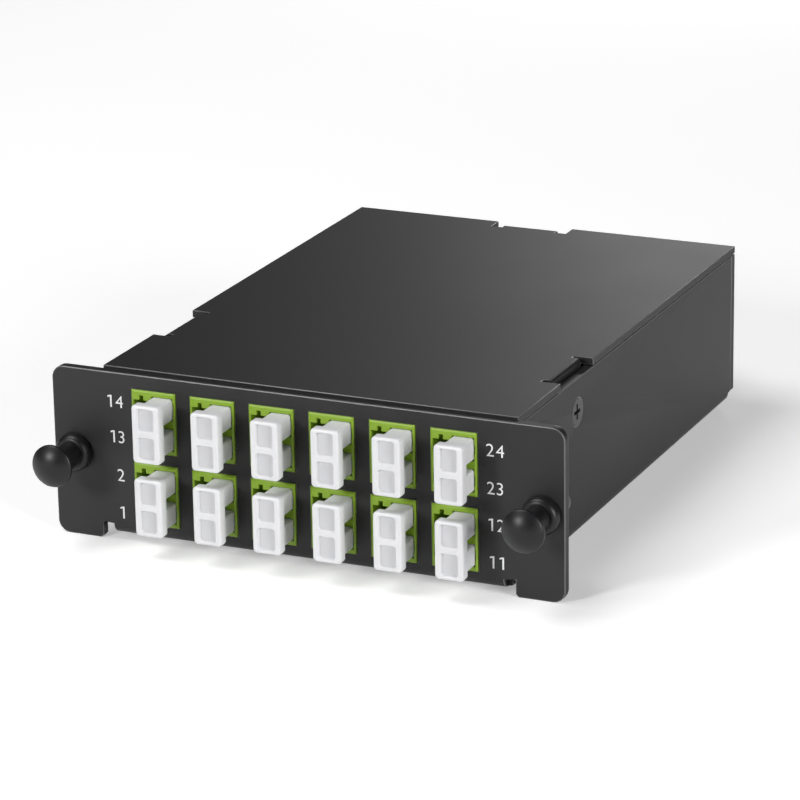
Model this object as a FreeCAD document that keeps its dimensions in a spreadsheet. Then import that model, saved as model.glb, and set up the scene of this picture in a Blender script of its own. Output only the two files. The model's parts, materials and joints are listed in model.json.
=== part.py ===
import FreeCAD, Part
import os

import Sketcher

# A fibre cassette. X runs to the right, Y to the rear and Z up. The origin is the midpoint between the two
# latch axes on the rear face of the front plate, which is the face that seats on the rack panel.

COLUMNS = 6
ROWS = ("lower", "upper")
SIDES = {"left": -1, "right": 1}

SIZES = (
    # The folded sheet of the tray
    ("sheet", 2.0),
    ("bend", 0.2),
    ("ear_width", 10.35),
    ("plate_height", 35.1),
    ("plate_corner", 2.6),
    ("side_margin", 7.55),
    ("tray_depth", 123.3),
    ("floor_drop", 16.4),
    ("wall_rise", 16.3),
    ("fold_gap", 0.3),
    ("fold_lap", 6.0),
    ("relief_dia", 1.4),
    ("relief_reach", 1.3),
    ("relief_rise", 1.7),
    ("cut_margin", 1.0),
    ("ear_step", 0.6),
    ("ear_gap", 0.15),
    # The cover
    ("cover_sheet", 1.5),
    ("cover_bend", 0.3),
    ("cover_edge", 0.75),
    ("cover_gap", 0.2),
    ("side_tab_width", 15.0),
    ("side_tab_drop", 13.5),
    ("slit_width", 1.2),
    ("rear_tab_width", 12.4),
    ("rear_tab_shift", -2.2),
    ("rear_tab_drop", 9.0),
    ("rear_notch_width", 2.5),
    # The countersunk screws
    ("screw_place", 30.5),
    ("screw_height", 9.5),
    ("screw_dia", 3.0),
    ("screw_length", 6.0),
    ("screw_head_dia", 5.5),
    ("screw_head_depth", 1.6),
    ("screw_clearance", 0.1),
    ("screw_thread_play", 0.02),
    ("cross_width", 0.7),
    ("cross_span", 3.2),
    ("cross_depth", 1.0),
    # The duplex adapters
    ("column_pitch", 12.8),
    ("row_pitch", 15.2),
    ("row_middle", 0.65),
    ("rim_width", 9.5),
    ("rim_height", 12.8),
    ("rim_proud", 0.6),
    ("rim_bevel", 0.3),
    ("adapter_width", 9.4),
    ("adapter_height", 12.5),
    ("adapter_reach", 22.4),
    ("adapter_clearance", 0.05),
    ("port_pitch", 6.25),
    ("port_shift", 2.0),
    ("port_width", 4.6),
    ("port_height", 4.6),
    ("slot_reach", 3.9),
    ("slot_height", 2.6),
    ("lug_place", 1.8),
    ("lug_width", 0.85),
    ("lug_height", 4.5),
    ("key_depth", 0.15),
    ("key_height", 1.7),
    ("web", 1.9),
    ("holder_dia", 2.8),
    ("holder_length", 7.0),
    ("holder_play", 0.02),
    ("sleeve_dia", 1.8),
    ("sleeve_length", 6.8),
    ("sleeve_slit", 0.3),
    ("sleeve_play", 0.05),
    ("ferrule_dia", 1.25),
    ("ferrule_play", 0.02),
    # The spring clips of the adapters
    ("clip_sheet", 0.3),
    ("clip_width", 5.0),
    ("clip_flare", 0.8),
    ("clip_play", 0.05),
    # The duplex dust caps
    ("cap_width", 5.9),
    ("cap_height", 11.8),
    ("cap_depth", 2.3),
    ("cap_corner", 0.7),
    ("cap_stand", 5.0),
    ("cap_reach", 6.6),
    ("cap_play", 0.1),
    ("cap_bore", 3.2),
    ("cap_bore_depth", 6.0),
    ("cap_recess_width", 3.8),
    ("cap_recess_height", 4.85),
    ("cap_recess_pitch", 5.85),
    ("cap_recess_depth", 0.5),
    # The push-pull latches
    ("latch_edge", 4.6),
    ("collar_dia", 7.8),
    ("collar_length", 2.4),
    ("collar_round", 0.5),
    ("shoulder_dia", 6.6),
    ("grommet_dia", 5.6),
    ("grommet_play", 0.1),
    ("grommet_length", 6.5),
    ("grommet_taper", 2.2),
    ("grommet_tip_dia", 4.8),
    ("grommet_slit", 0.8),
    ("pin_dia", 3.5),
    ("pin_play", 0.05),
    ("pin_length", 7.2),
    ("pin_tip", 1.0),
    ("neck_dia", 5.2),
    ("neck_length", 5.8),
    ("knob_dia", 8.7),
    ("knob_taper", 1.1),
    ("knob_rim", 0.6),
    ("knob_dome", 1.7),
    ("knob_gap", 0.05),
    # The multi-fibre inlets
    ("inlet_pitch", 44.0),
    ("inlet_width", 14.0),
    ("inlet_height", 9.6),
    ("inlet_flange_width", 22.4),
    ("inlet_flange", 2.0),
    ("inlet_proud", 5.0),
    ("inlet_depth", 12.0),
    ("inlet_clearance", 0.1),
    ("inlet_port_width", 12.6),
    ("inlet_port_height", 7.8),
    ("inlet_lap", 0.8),
    ("inlet_web", 2.0),
    ("inlet_window_width", 7.2),
    ("inlet_window_height", 3.2),
    ("inlet_key_width", 3.2),
    ("inlet_key_height", 0.5),
    ("inlet_screw_pitch", 18.0),
    ("inlet_screw_dia", 2.0),
    ("inlet_screw_length", 5.0),
    ("inlet_screw_head_dia", 3.6),
    ("inlet_screw_head", 1.3),
    ("inlet_slot_width", 0.6),
    ("inlet_slot_depth", 0.6),
    ("inlet_cap_width", 13.4),
    ("inlet_cap_height", 9.2),
    ("inlet_cap_depth", 5.0),
    ("inlet_cap_reach", 6.0),
    ("inlet_cap_play", 0.1),
    ("inlet_cap_corner", 1.2),
    ("inlet_cap_seat", 0.1),
    # The inner connectors
    ("plug_play", 0.1),
    ("plug_gap", 0.4),
    ("plug_length", 18.0),
    ("plug_recess", 2.8),
    ("yoke_width", 5.4),
    ("yoke_height", 11.2),
    ("yoke_place", 1.6),
    ("yoke_length", 5.0),
    ("boot_dia", 3.4),
    ("boot_tip_dia", 2.4),
    ("boot_length", 5.0),
    ("boot_collar", 2.2),
    ("trunk_plug_play", 0.2),
    ("trunk_plug_gap", 0.3),
    ("trunk_ferrule_width", 6.4),
    ("trunk_ferrule_height", 2.5),
    ("trunk_plug_length", 16.0),
    ("trunk_boot_dia", 6.0),
    ("trunk_boot_tip_dia", 3.8),
    ("trunk_boot_length", 8.0),
    # The fibre coil, its guides and the leads
    ("coil_front_gap", 15.75),
    ("coil_rear_gap", 11.5),
    ("coil_side_gap", 2.25),
    ("coil_thickness", 3.0),
    ("coil_high", 11.0),
    ("guide_play", 0.2),
    ("guide_wall", 1.5),
    ("guide_back", 4.0),
    ("guide_lip", 2.2),
    ("guide_lip_thickness", 1.2),
    ("guide_span", 14.0),
    ("foot_thickness", 1.5),
    ("lead_width", 0.9),
    ("lead_height", 1.8),
    ("lead_bend", 5.0),
    ("lead_run", 1.2),
    ("trunk_dia", 3.0),
    ("trunk_bend", 9.0),
)

doc = FreeCAD.newDocument("fibre_cassette")
sheet = doc.addObject("Spreadsheet::Sheet", "Sizes")


def fill_sheet():
    """Write every driving dimension into the sheet, one named row each."""
    for row, (name, value) in enumerate(SIZES, start=1):
        sheet.set(f"A{row}", name)
        sheet.set(f"B{row}", str(value))
        sheet.setAlias(f"B{row}", name)
    doc.recompute()


def expression(text):
    """Turn size names in a formula into references to the sheet."""
    words = []
    word = ""
    for letter in text + " ":
        if letter.isalnum() or letter == "_":
            word += letter
            continue
        words.append(f"Sizes.{word}" if word in NAMES else word)
        words.append(letter)
        word = ""
    return "".join(words).strip()


def value(text):
    """The present value of a formula of sizes, in millimetres."""
    return float(sheet.evalExpression(expression(text)))


def bind(thing, path, text):
    """Let a property follow a formula of sizes."""
    thing.setExpression(path, expression(text))


NAMES = {name for name, _ in SIZES}
PLANES = {"XY": "XY_Plane", "XZ": "XZ_Plane", "YZ": "YZ_Plane"}
X_AXIS = FreeCAD.Vector(1, 0, 0)
Y_AXIS = FreeCAD.Vector(0, 1, 0)
Z_AXIS = FreeCAD.Vector(0, 0, 1)
CLOSE = 1e-4
AS_BUILT = FreeCAD.Rotation()
TURNED_ABOUT = FreeCAD.Rotation(Z_AXIS, 180)
TURNED_OVER = FreeCAD.Rotation(X_AXIS, 180)
TURNED_ACROSS = FreeCAD.Rotation(Y_AXIS, 180)


def new_body(label, x="0", y="0", z="0", turn=AS_BUILT):
    """A body with its label and its place bound to the sheet."""
    body = doc.addObject("PartDesign::Body", label)
    body.Label = label
    body.Placement.Rotation = turn
    place(body, x, y, z)
    return body


def place(thing, x, y, z):
    """Bind the position of a sub-part to formulas of sizes."""
    for axis, text in zip("xyz", (x, y, z)):
        bind(thing, f"Placement.Base.{axis}", text)


def new_sketch(body, name, plane, offset="0"):
    """A sketch on one of the body's own origin planes, moved along the plane's normal."""
    sketch = body.newObject("Sketcher::SketchObject", name)
    base = [item for item in body.Origin.OriginFeatures if item.Role == PLANES[plane]][0]
    sketch.AttachmentSupport = [(base, "")]
    sketch.MapMode = "FlatFace"
    bind(sketch, "AttachmentOffset.Base.z", offset)
    return sketch


def fix_point(sketch, geometry, vertex, x, y):
    """Hold a point of the sketch at formulas of sizes."""
    for kind, text in (("DistanceX", x), ("DistanceY", y)):
        index = sketch.addConstraint(Sketcher.Constraint(kind, -1, 1, geometry, vertex, value(text)))
        sketch.setExpression(f"Constraints[{index}]", expression(text))


def arc_between(start, end, centre, side):
    """An arc from start to end about a centre; side 1 bulges to the right of the way, side -1 to the left."""
    way = end - start
    across = FreeCAD.Vector(way.y, -way.x, 0).normalize()
    return Part.Arc(start, centre + across * side * start.distanceToPoint(centre), end)


def fix_centre(sketch, geometry, way, x, y):
    """Hold an arc's centre on the line that its two fixed ends leave it."""
    kind, text = ("DistanceY", y) if abs(way.x) > abs(way.y) else ("DistanceX", x)
    index = sketch.addConstraint(Sketcher.Constraint(kind, -1, 1, geometry, 3, value(text)))
    sketch.setExpression(f"Constraints[{index}]", expression(text))


def outline(sketch, points, arcs=None):
    """A closed outline; arcs maps a point's number to the centre and side of the arc that leaves it."""
    arcs = arcs or {}
    first = sketch.GeometryCount
    corners = [FreeCAD.Vector(value(x), value(y), 0) for x, y in points]
    count = len(points)
    for number, start in enumerate(corners):
        end = corners[(number + 1) % count]
        if number in arcs:
            x, y, side = arcs[number]
            centre = FreeCAD.Vector(value(x), value(y), 0)
            sketch.addGeometry(arc_between(start, end, centre, side), False)
        else:
            sketch.addGeometry(Part.LineSegment(start, end), False)
    ends = [corner_ends(sketch, first + number, corners[number]) for number in range(count)]
    for number, (x, y) in enumerate(points):
        here = first + number
        following = (number + 1) % count
        join = (here, ends[number][1], first + following, ends[following][0])
        sketch.addConstraint(Sketcher.Constraint("Coincident", *join))
        fix_point(sketch, here, ends[number][0], x, y)
        if number in arcs:
            fix_centre(sketch, here, corners[following] - corners[number], *arcs[number][:2])


def corner_ends(sketch, geometry, corner):
    """Which end of the segment is its start and which its end, because an arc may be stored turned round."""
    first = sketch.getPoint(geometry, 1).distanceToPoint(corner)
    second = sketch.getPoint(geometry, 2).distanceToPoint(corner)
    return (1, 2) if first < second else (2, 1)


def rectangle(sketch, x, y, width, height):
    """A rectangle about its centre."""
    low_x, high_x = f"{x} - ({width}) / 2", f"{x} + ({width}) / 2"
    low_y, high_y = f"{y} - ({height}) / 2", f"{y} + ({height}) / 2"
    outline(sketch, [(low_x, low_y), (high_x, low_y), (high_x, high_y), (low_x, high_y)])


def circle(sketch, x, y, dia):
    """A circle about its centre."""
    centre = FreeCAD.Vector(value(x), value(y), 0)
    geometry = sketch.addGeometry(Part.Circle(centre, Z_AXIS, value(dia) / 2), False)
    fix_point(sketch, geometry, 3, x, y)
    index = sketch.addConstraint(Sketcher.Constraint("Diameter", geometry, value(dia)))
    sketch.setExpression(f"Constraints[{index}]", expression(dia))


def pad(body, sketch, length, back=False):
    """Add the sketch's outline, drawn out to a length."""
    feature = body.newObject("PartDesign::Pad", f"{sketch.Name}_pad")
    feature.Profile = sketch
    feature.Reversed = back
    bind(feature, "Length", length)
    body.Tip = feature
    return feature


def pocket(body, sketch, length, back=False):
    """Cut the sketch's outline to a depth."""
    feature = body.newObject("PartDesign::Pocket", f"{sketch.Name}_pocket")
    feature.Profile = sketch
    feature.Reversed = back
    bind(feature, "Length", length)
    body.Tip = feature
    return feature


def revolve(body, sketch, axis, kind="PartDesign::Revolution"):
    """Turn the sketch's outline round one of its own axes, to add or to cut."""
    feature = body.newObject(kind, f"{sketch.Name}_turned")
    feature.Profile = sketch
    feature.ReferenceAxis = (sketch, [axis])
    feature.Angle = 360.0
    body.Tip = feature
    return feature


def mirror(body, features, plane):
    """Repeat features on the other side of an origin plane."""
    feature = body.newObject("PartDesign::Mirrored", f"{features[-1].Name}_mirrored")
    feature.Originals = features
    base = [item for item in body.Origin.OriginFeatures if item.Role == PLANES[plane]][0]
    feature.MirrorPlane = (base, [""])
    body.Tip = feature
    return feature


def edges_where(body, test):
    """Names of the straight edges of the body's present shape whose middle and direction pass a test."""
    doc.recompute()
    names = []
    for number, edge in enumerate(body.Shape.Edges, start=1):
        if edge.Curve.TypeId != "Part::GeomLine":
            continue
        if test(edge.CenterOfMass - body.Placement.Base, edge.Curve.Direction):
            names.append(f"Edge{number}")
    return names


def dress(body, kind, names, size):
    """A fillet or a chamfer on named edges of the body's present shape."""
    dressed = body.Tip
    feature = body.newObject(f"PartDesign::{kind}", f"{body.Name}_{kind.lower()}")
    feature.Base = (dressed, names)
    bind(feature, "Radius" if kind == "Fillet" else "Size", size)
    body.Tip = feature
    return feature


def near(one, other):
    """Whether two lengths are the same."""
    return abs(one - other) < CLOSE


def along(direction, axis):
    """Whether a direction runs along an axis of the body."""
    return abs(abs(direction.dot(axis)) - 1.0) < CLOSE


def copies(master, places):
    """Linked copies of a sub-part at other places."""
    made = []
    for label, (x, y, z), turn in places:
        link = doc.addObject("App::Link", label)
        link.LinkedObject = master
        link.Label = label
        link.Placement.Rotation = turn
        place(link, x, y, z)
        made.append(link)
    return made


def group(label, members):
    """Like pieces kept together as one sub-part."""
    compound = doc.addObject("Part::Compound", label)
    compound.Label = label
    compound.Links = members
    return compound


# Formulas that several sub-parts share

HALF_TRAY = f"({(COLUMNS - 1) / 2} * column_pitch + adapter_width / 2 + side_margin)"
HALF_PLATE = f"({HALF_TRAY} + ear_width)"
LATCH = f"({HALF_PLATE} - latch_edge)"
BEND_HALF = f"({HALF_TRAY} - sheet - bend)"
BEND_TOP = "-floor_drop + sheet + bend"
OUTER_BEND = "(sheet + bend)"
EAR = f"({HALF_TRAY} + ear_gap)"
INNER_HALF = f"({HALF_TRAY} - sheet)"
COVER_TOP = "(wall_rise + cover_gap + cover_sheet)"
COVER_FOLD = ("cover_sheet", "cover_bend", "cover_edge")
CUTOUT_WIDTH = "(adapter_width + 2 * adapter_clearance)"
CUTOUT_HEIGHT = "(adapter_height + 2 * adapter_clearance)"
SCREW_HOLE = "(screw_dia + 2 * screw_clearance)"
INLET_PLAY = "2 * inlet_clearance"
INLET_FACE = "(tray_depth + inlet_flange + inlet_proud)"
RIM_FRONT = "(sheet + rim_proud)"
WEB_MIDDLE = "(adapter_reach - sheet - rim_proud) / 2"
WALL_FACE = "(tray_depth - sheet)"
BOOT_TIP = f"({WEB_MIDDLE} + web / 2 + plug_gap + plug_length + boot_length)"
TRUNK_FRONT = "((inlet_depth - inlet_flange - inlet_proud + inlet_web) / 2 + trunk_plug_gap)"
TRUNK_TIP = f"(tray_depth - {TRUNK_FRONT} - trunk_plug_length - trunk_boot_length)"
FLOOR_TOP = "(-floor_drop + sheet)"
COIL_FRONT = f"({BOOT_TIP} + coil_front_gap)"
COIL_REAR = f"({TRUNK_TIP} - coil_rear_gap)"
COIL_RADIUS = f"(({COIL_REAR} - {COIL_FRONT}) / 2)"
COIL_CENTRE = f"(({COIL_REAR} + {COIL_FRONT}) / 2)"
COIL_HALF = f"({INNER_HALF} - coil_side_gap - {COIL_RADIUS})"
COIL_LOW = f"({FLOOR_TOP} + foot_thickness)"


def column_place(column):
    """X of a column of adapters."""
    return f"({column} - {(COLUMNS - 1) / 2}) * column_pitch"


def row_place(row):
    """Z of a row of adapters."""
    return f"row_middle {'-' if row == 'lower' else '+'} row_pitch / 2"


def adapter_places():
    """Every adapter's number and centre, lower row first, from left to right."""
    number = 0
    for row in ROWS:
        for column in range(COLUMNS):
            number += 1
            yield number, (column_place(column), "0", row_place(row))


def folded_angle(sketch, corner, ways, legs, thickness, inside, outside):
    """Section of a folded sheet: outer corner, ways and lengths of its legs, thickness and both bend radii."""
    (x, y), (way_x, way_y), (leg_x, leg_y) = corner, ways, legs
    outer_x, outer_y = f"{x} + {way_x} * {outside}", f"{y} + {way_y} * {outside}"
    inner_x, inner_y = f"{x} + {way_x} * ({thickness} + {inside})", f"{y} + {way_y} * ({thickness} + {inside})"
    thick_x, thick_y = f"{x} + {way_x} * {thickness}", f"{y} + {way_y} * {thickness}"
    end_x, end_y = f"{x} + {way_x} * ({leg_x})", f"{y} + {way_y} * ({leg_y})"
    turn = way_x * way_y
    outline(sketch, [
        (end_x, y), (outer_x, y), (x, outer_y), (x, end_y),
        (thick_x, end_y), (thick_x, inner_y), (inner_x, thick_y), (end_x, thick_y),
    ], {1: (outer_x, outer_y, -turn), 5: (inner_x, inner_y, turn)})


def base_tray():
    """The folded sheet: floor, front plate with its ears, side walls and rear wall."""
    body = new_body("base_tray")
    side = new_sketch(body, "tray_side", "XZ", "-fold_gap")
    legs = (HALF_TRAY, "floor_drop + wall_rise")
    folded_angle(side, (f"-{HALF_TRAY}", "-floor_drop"), (1, 1), legs, "sheet", "bend", OUTER_BEND)
    wall = pad(body, side, f"{WALL_FACE} - 2 * fold_gap", back=True)
    mirror(body, [wall], "YZ")

    laps = ("fold_lap", "fold_lap")
    front = new_sketch(body, "tray_front", "YZ", f"-{BEND_HALF}")
    folded_angle(front, ("-sheet", "-floor_drop"), (1, 1), laps, "sheet", "bend", OUTER_BEND)
    pad(body, front, f"2 * {BEND_HALF}")
    rear = new_sketch(body, "tray_rear", "YZ", f"-{BEND_HALF}")
    folded_angle(rear, ("tray_depth", "-floor_drop"), (-1, 1), laps, "sheet", "bend", OUTER_BEND)
    pad(body, rear, f"2 * {BEND_HALF}")

    plate = new_sketch(body, "tray_plate", "XZ")
    half, low, top = HALF_PLATE, "-plate_height / 2", "plate_height / 2"
    outline(plate, [
        (f"-{half}", low), (f"-{EAR} - ear_step", low), (f"-{EAR}", f"{low} + ear_step"), (f"-{EAR}", BEND_TOP),
        (EAR, BEND_TOP), (EAR, f"{low} + ear_step"), (f"{EAR} + ear_step", low), (half, low),
        (half, top), (f"-{half}", top),
    ])
    pad(body, plate, "sheet")
    back = new_sketch(body, "tray_back", "XZ", f"-{WALL_FACE}")
    rectangle(back, "0", f"({BEND_TOP} + wall_rise) / 2", f"2 * {HALF_TRAY}", f"wall_rise - ({BEND_TOP})")
    pad(body, back, "sheet", back=True)

    def plate_corners(middle, way):
        return along(way, Y_AXIS) and near(abs(middle.x), value(half)) and middle.y < 0.0

    dress(body, "Fillet", edges_where(body, plate_corners), "plate_corner")
    cut_reliefs(body)
    cut_front_openings(body)
    cut_rear_openings(body)
    cut_cover_screw_holes(body)
    return body


def cut_reliefs(body):
    """Round-topped slots that free the corners of the bends, open below."""
    centre, radius = f"({EAR} - relief_dia / 2)", "relief_dia / 2"
    base = "-plate_height / 2 - cut_margin"
    top = "-floor_drop + relief_rise"
    for name, offset, back in (("front", "sheet", False), ("rear", "-tray_depth", True)):
        sketch = new_sketch(body, f"tray_relief_{name}", "XZ", offset)
        outline(sketch, [
            (f"{centre} - {radius}", base), (f"{centre} + {radius}", base),
            (f"{centre} + {radius}", top), (f"{centre} - {radius}", top),
        ], {2: (centre, top, 1)})
        cut = pocket(body, sketch, "sheet + relief_reach", back=back)
        mirror(body, [cut], "YZ")


def cut_front_openings(body):
    """The twelve adapter windows and the two latch holes of the front plate."""
    windows = new_sketch(body, "tray_windows", "XZ", "sheet")
    for _, (x, _, z) in adapter_places():
        rectangle(windows, x, z, CUTOUT_WIDTH, CUTOUT_HEIGHT)
    for side in SIDES.values():
        circle(windows, f"{side} * {LATCH}", "0", "shoulder_dia + 2 * grommet_play")
    pocket(body, windows, "sheet")


def cut_rear_openings(body):
    """The windows and screw holes of the two multi-fibre inlets."""
    windows = new_sketch(body, "tray_inlets", "XZ", "-tray_depth")
    for side in SIDES.values():
        middle = f"{side} * inlet_pitch / 2"
        rectangle(windows, middle, "0", f"inlet_width + {INLET_PLAY}", f"inlet_height + {INLET_PLAY}")
        for end in SIDES.values():
            circle(windows, f"{middle} + {end} * inlet_screw_pitch / 2", "0", f"inlet_screw_dia + {INLET_PLAY}")
    pocket(body, windows, "sheet", back=True)


def cut_cover_screw_holes(body):
    """Countersunk holes in both side walls, wide enough to sink the screw heads."""
    sketch = new_sketch(body, "tray_countersink", "XY", "screw_height")
    head, hole = "(screw_head_dia / 2 + screw_clearance)", f"{SCREW_HOLE} / 2"
    outline(sketch, [
        (HALF_TRAY, "screw_place"), (HALF_TRAY, f"screw_place + {head}"),
        (f"{HALF_TRAY} - screw_head_depth", f"screw_place + {hole}"),
        (f"{INNER_HALF} - cut_margin", f"screw_place + {hole}"), (f"{INNER_HALF} - cut_margin", "screw_place"),
    ])
    cut = turned_cut(body, sketch, "0", "screw_place")
    mirror(body, [cut], "YZ")


def turned_cut(body, sketch, x, y):
    """Cut the sketch's outline turned round a line along its own first axis."""
    start = FreeCAD.Vector(value(x), value(y), 0)
    line = sketch.addGeometry(Part.LineSegment(start, start + X_AXIS), True)
    fix_point(sketch, line, 1, x, y)
    fix_point(sketch, line, 2, f"{x} + cut_margin", y)
    return revolve(body, sketch, "Axis0", "PartDesign::Groove")


def top_cover():
    """The flat lid: two side tabs that take the screws and a rear tab that hooks inside the rear wall."""
    body = new_body("top_cover", z=COVER_TOP)
    half, tab_edge = HALF_TRAY, f"({INNER_HALF} - cover_gap - cover_sheet - cover_bend)"
    low, high = "(screw_place - side_tab_width / 2)", "(screw_place + side_tab_width / 2)"
    rear_edge = f"({WALL_FACE} - cover_gap - cover_sheet - cover_bend)"
    tab_left, tab_right = "(rear_tab_shift - rear_tab_width / 2)", "(rear_tab_shift + rear_tab_width / 2)"
    sheet_outline = new_sketch(body, "cover_sheet", "XY")
    side = [
        (half, "fold_gap"), (half, f"{low} - slit_width"), (tab_edge, f"{low} - slit_width"), (tab_edge, low),
        (tab_edge, high), (tab_edge, f"{high} + slit_width"),
        (half, f"{high} + slit_width"), (half, "tray_depth"),
    ]
    rear = [
        (f"{tab_right} + rear_notch_width", "tray_depth"), (f"{tab_right} + rear_notch_width", rear_edge),
        (f"{tab_left} - rear_notch_width", rear_edge), (f"{tab_left} - rear_notch_width", "tray_depth"),
    ]
    left = [(f"-{x}", y) for x, y in reversed(side)]
    outline(sheet_outline, side + rear + left)
    pad(body, sheet_outline, "cover_sheet", back=True)

    tab = new_sketch(body, "cover_side_tab", "XZ", f"-{low}")
    legs = ("cover_sheet + cover_bend + fold_lap", "side_tab_drop")
    folded_angle(tab, (f"{INNER_HALF} - cover_gap", "0"), (-1, -1), legs, *COVER_FOLD)
    side_tab = pad(body, tab, "side_tab_width", back=True)
    hole = new_sketch(body, "cover_tab_hole", "YZ", f"{INNER_HALF} - cover_gap")
    circle(hole, "screw_place", f"screw_height - {COVER_TOP}", "screw_dia + 2 * screw_thread_play")
    tapped = pocket(body, hole, "cover_sheet")
    mirror(body, [side_tab, tapped], "YZ")
    hook = new_sketch(body, "cover_rear_tab", "YZ", tab_left)
    legs = ("cover_sheet + cover_bend + fold_lap", "rear_tab_drop")
    folded_angle(hook, (f"{WALL_FACE} - cover_gap", "0"), (-1, -1), legs, *COVER_FOLD)
    pad(body, hook, "rear_tab_width")
    return body


def cover_screws():
    """The two countersunk screws with their crossed recesses, lying along X with the heads outwards."""
    body = new_body("cover_screw")
    shank = new_sketch(body, "screw_profile", "XY")
    outline(shank, [
        ("0", "0"), ("0", "screw_head_dia / 2"), ("-screw_head_depth", "screw_dia / 2"),
        ("-screw_length", "screw_dia / 2"), ("-screw_length", "0"),
    ])
    revolve(body, shank, "H_Axis")
    cross = new_sketch(body, "screw_cross", "YZ")
    arm, half = "cross_span / 2", "cross_width / 2"
    outline(cross, [
        (f"-{arm}", f"-{half}"), (f"-{half}", f"-{half}"), (f"-{half}", f"-{arm}"), (half, f"-{arm}"),
        (half, f"-{half}"), (arm, f"-{half}"), (arm, half), (half, half),
        (half, arm), (f"-{half}", arm), (f"-{half}", half), (f"-{arm}", half),
    ])
    pocket(body, cross, "cross_depth")
    places = [
        ("cover_screw_right", (HALF_TRAY, "screw_place", "screw_height"), AS_BUILT),
        ("cover_screw_left", (f"-{HALF_TRAY}", "screw_place", "screw_height"), TURNED_ABOUT),
    ]
    return group("cover_screws", copies(body, places))


def port_outline(sketch, middle):
    """The opening of one port: the square, the latch slot with its lugs and the key opposite."""
    right, left = "port_shift + port_width / 2", "port_shift - port_width / 2"
    lug_right, lug_left = f"{left} - lug_place", f"{left} - lug_place - lug_width"
    square = [(right, "port_height / 2"), (left, "port_height / 2")]
    key = [(right, "key_height / 2"), (f"{right} + key_depth", "key_height / 2")]
    slot = [
        (left, "slot_height / 2"), (lug_right, "slot_height / 2"), (lug_right, "lug_height / 2"),
        (lug_left, "lug_height / 2"), (lug_left, "slot_height / 2"), (f"{left} - slot_reach", "slot_height / 2"),
    ]
    upper = [key[1], key[0]] + square + slot
    lower = [(x, f"-({y})") for x, y in reversed(upper)]
    outline(sketch, [(x, f"{middle} + {y}") for x, y in upper + lower])


def lc_adapter():
    """A duplex adapter: rim, body, two ports from each end and the web between them with its holders' holes."""
    body = new_body("lc_adapter_01", *dict(adapter_places())[1])
    rim = new_sketch(body, "adapter_rim", "XZ", RIM_FRONT)
    rectangle(rim, "0", "0", "rim_width", "rim_height")
    pad(body, rim, "rim_proud", back=True)
    front = -value(RIM_FRONT)

    def rim_front(middle, way):
        return near(middle.y, front)

    dress(body, "Chamfer", edges_where(body, rim_front), "rim_bevel")
    shell = new_sketch(body, "adapter_shell", "XZ", "sheet")
    rectangle(shell, "0", "0", "adapter_width", "adapter_height")
    pad(body, shell, "sheet + adapter_reach", back=True)
    ends = (("front", RIM_FRONT, True), ("rear", "-adapter_reach", False))
    for name, offset, back in ends:
        ports = new_sketch(body, f"adapter_ports_{name}", "XZ", offset)
        for side in SIDES.values():
            port_outline(ports, f"{side} * port_pitch / 2")
        pocket(body, ports, f"({RIM_FRONT} + adapter_reach - web) / 2", back=not back)
    holes = new_sketch(body, "adapter_web_holes", "XZ", f"-({WEB_MIDDLE} - web / 2)")
    for side in SIDES.values():
        circle(holes, "port_shift", f"{side} * port_pitch / 2", "holder_dia + 2 * holder_play")
    pocket(body, holes, "web")
    return body


def numbered(master, name):
    """The master and its linked copies, one for each adapter."""
    places = [(f"{name}_{number:02d}", at, AS_BUILT) for number, at in adapter_places() if number > 1]
    return [master] + copies(master, places)


def port_places(name):
    """A place on the axis of every port."""
    places = []
    for number, (x, y, z) in adapter_places():
        for letter, side in (("a", -1), ("b", 1)):
            at = (f"{x} + port_shift", y, f"{z} + {side} * port_pitch / 2")
            places.append((f"{name}_{number:02d}{letter}", at, AS_BUILT))
    return places


def sleeve_holders():
    """The round holders that carry the sleeves through the webs, one for each port."""
    body = new_body("sleeve_holder")
    ring = new_sketch(body, "holder_ring", "XZ", f"-({WEB_MIDDLE} + holder_length / 2)")
    circle(ring, "0", "0", "holder_dia")
    circle(ring, "0", "0", "sleeve_dia + 2 * sleeve_play")
    pad(body, ring, "holder_length")
    return group("sleeve_holders", copies(body, port_places("sleeve_holder")))


def alignment_sleeves():
    """The split sleeves that line up the ferrules, one for each port."""
    body = new_body("alignment_sleeve")
    ring = new_sketch(body, "sleeve_ring", "XZ", f"-({WEB_MIDDLE} + sleeve_length / 2)")
    circle(ring, "0", "0", "sleeve_dia")
    circle(ring, "0", "0", "ferrule_dia + 2 * ferrule_play")
    pad(body, ring, "sleeve_length")
    slit = new_sketch(body, "sleeve_slit", "XZ", f"-({WEB_MIDDLE} + sleeve_length / 2)")
    rectangle(slit, "-sleeve_dia / 2", "0", "sleeve_dia", "sleeve_slit")
    pocket(body, slit, "sleeve_length", back=True)
    return group("alignment_sleeves", copies(body, port_places("alignment_sleeve")))


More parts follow.
